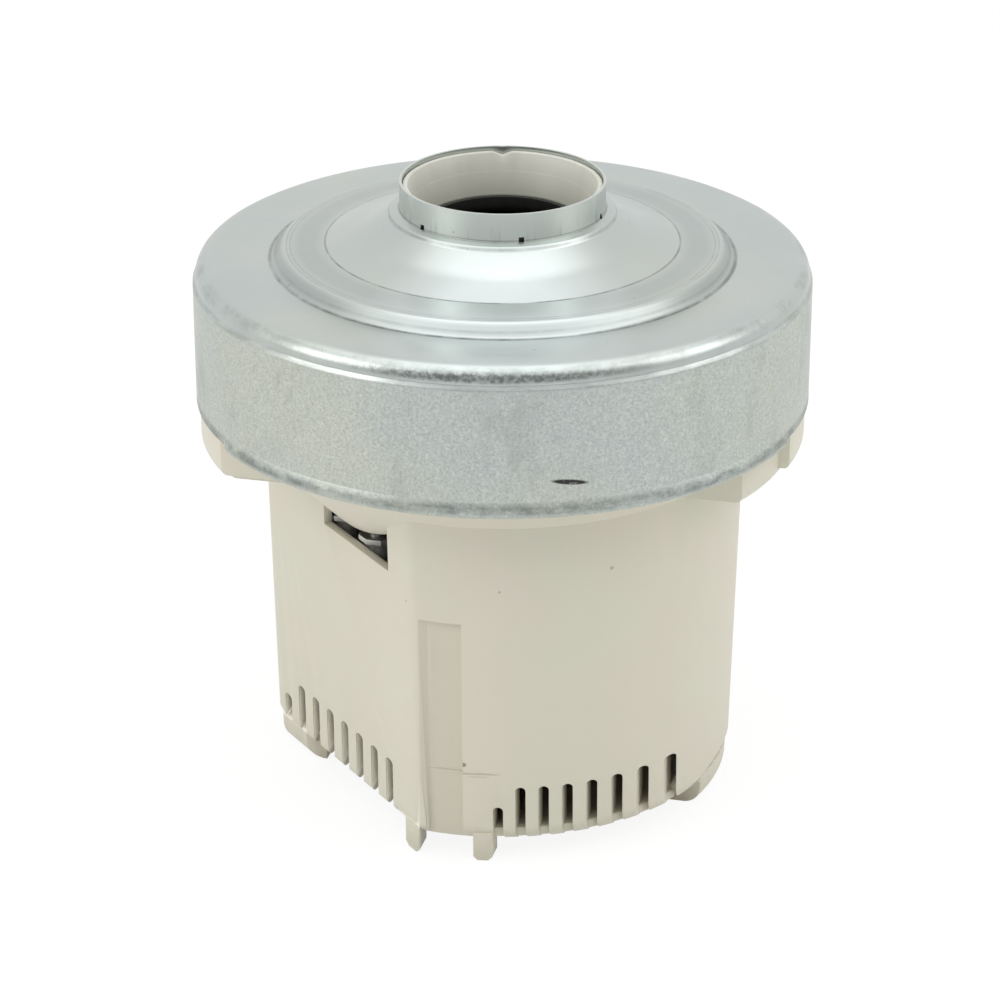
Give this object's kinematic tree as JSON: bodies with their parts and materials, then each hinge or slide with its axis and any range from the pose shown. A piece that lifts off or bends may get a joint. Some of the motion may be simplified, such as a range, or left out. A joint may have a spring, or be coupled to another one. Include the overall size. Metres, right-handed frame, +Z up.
{
  "type": "vacuum cleaner motor unit",
  "caption": "Flow-through vacuum cleaner fan motor: steel fan cover with a central inlet collar above a slotted moulded motor housing on feet.",
  "frame": {"origin": "on the motor's axis at the ground under the housing's legs", "axes": "+Z up along the shaft towards the air inlet; the housing's two flats face +X and -X, its two arcs +Y and -Y"},
  "size_m": [0.136, 0.136, 0.1391],
  "materials": {
    "zinc_steel": "zinc plated, faintly mottled",
    "cream_plastic": "moulded thermoset, matt to satin",
    "black_plastic": "moulded, satin",
    "brown_plastic": "moulded phenolic, satin",
    "bobbin_plastic": "moulded, natural colour",
    "grey_steel": "stamped, dull",
    "bright_steel": "plain, bright",
    "bearing_steel": "ground and polished",
    "lamination_steel": "stacked laminations, varnished",
    "enamelled_wire": "enamelled copper wire, varnished",
    "copper": "bare copper",
    "brass": "stamped brass",
    "carbon": "pressed carbon, dull",
    "white_plastic": "moulded, satin"
  },
  "bodies": {
    "motor_frame": {"fan_cover": "zinc_steel", "inlet_seal_ring": "white_plastic", "motor_housing": "cream_plastic", "bearing_bracket": "grey_steel", "bracket_spacers": "grey_steel", "bracket_rivets": "bright_steel", "upper_bearing_outer_ring": "bearing_steel", "upper_bearing_shields": "bearing_steel", "lower_bearing_outer_ring": "bearing_steel", "lower_bearing_shields": "bearing_steel", "lower_bearing_wave_washer": "bright_steel", "stator_core": "lamination_steel", "stator_screws": "bright_steel", "coil_bobbin_a": "bobbin_plastic", "coil_bobbin_b": "bobbin_plastic", "field_coil_a": "enamelled_wire", "field_coil_b": "enamelled_wire", "diffuser": "black_plastic", "diffuser_screws": "bright_steel", "brush_holder_a": "brown_plastic", "brush_holder_b": "brown_plastic", "brush_tube_a": "brass", "brush_tube_b": "brass", "brush_spring_a": "bright_steel", "brush_spring_b": "bright_steel", "brush_lead_a": "copper", "brush_lead_b": "copper", "brush_terminal_a": "brass", "brush_terminal_b": "brass", "brush_holder_screws": "bright_steel"},
    "rotor": {"shaft": "bright_steel", "armature_core": "lamination_steel", "armature_winding": "enamelled_wire", "commutator_hub": "brown_plastic", "commutator_bars": "copper", "upper_bearing_inner_ring": "bearing_steel", "lower_bearing_inner_ring": "bearing_steel", "impeller_front_shroud": "black_plastic", "impeller": "black_plastic", "impeller_spacer": "bright_steel", "impeller_washer": "zinc_steel", "impeller_nut": "zinc_steel"},
    "upper_ball_set": {"upper_bearing_balls": "bearing_steel", "upper_bearing_cage": "bearing_steel"},
    "lower_ball_set": {"lower_bearing_balls": "bearing_steel", "lower_bearing_cage": "bearing_steel"},
    "brush_a": {"carbon_brush_a": "carbon"},
    "brush_b": {"carbon_brush_b": "carbon"}
  },
  "joints": [
    {"name": "rotor_spin", "type": "hinge", "parent": "motor_frame", "child": "rotor", "pos_m": [0, 0, 0.06], "axis": [0, 0, 1], "continuous": true},
    {"name": "upper_balls_spin", "type": "hinge", "parent": "motor_frame", "child": "upper_ball_set", "pos_m": [0, 0, 0.088], "axis": [0, 0, 1], "continuous": true},
    {"name": "lower_balls_spin", "type": "hinge", "parent": "motor_frame", "child": "lower_ball_set", "pos_m": [0, 0, 0.0078], "axis": [0, 0, 1], "continuous": true},
    {"name": "brush_a_slide", "type": "slide", "parent": "motor_frame", "child": "brush_a", "axis": [-0.7071, -0.7071, 0], "range_m": [0, 0.004], "stiffness_N_per_m": 60, "springref_m": -0.03, "deforming": ["brush_spring_a", "brush_lead_a"]},
    {"name": "brush_b_slide", "type": "slide", "parent": "motor_frame", "child": "brush_b", "axis": [0.7071, 0.7071, 0], "range_m": [0, 0.004], "stiffness_N_per_m": 60, "springref_m": -0.03, "deforming": ["brush_spring_b", "brush_lead_b"]}
  ],
  "couplings": [
    {"joint": "upper_balls_spin", "follows": "rotor_spin", "ratio": 0.368},
    {"joint": "lower_balls_spin", "follows": "rotor_spin", "ratio": 0.36538}
  ]
}
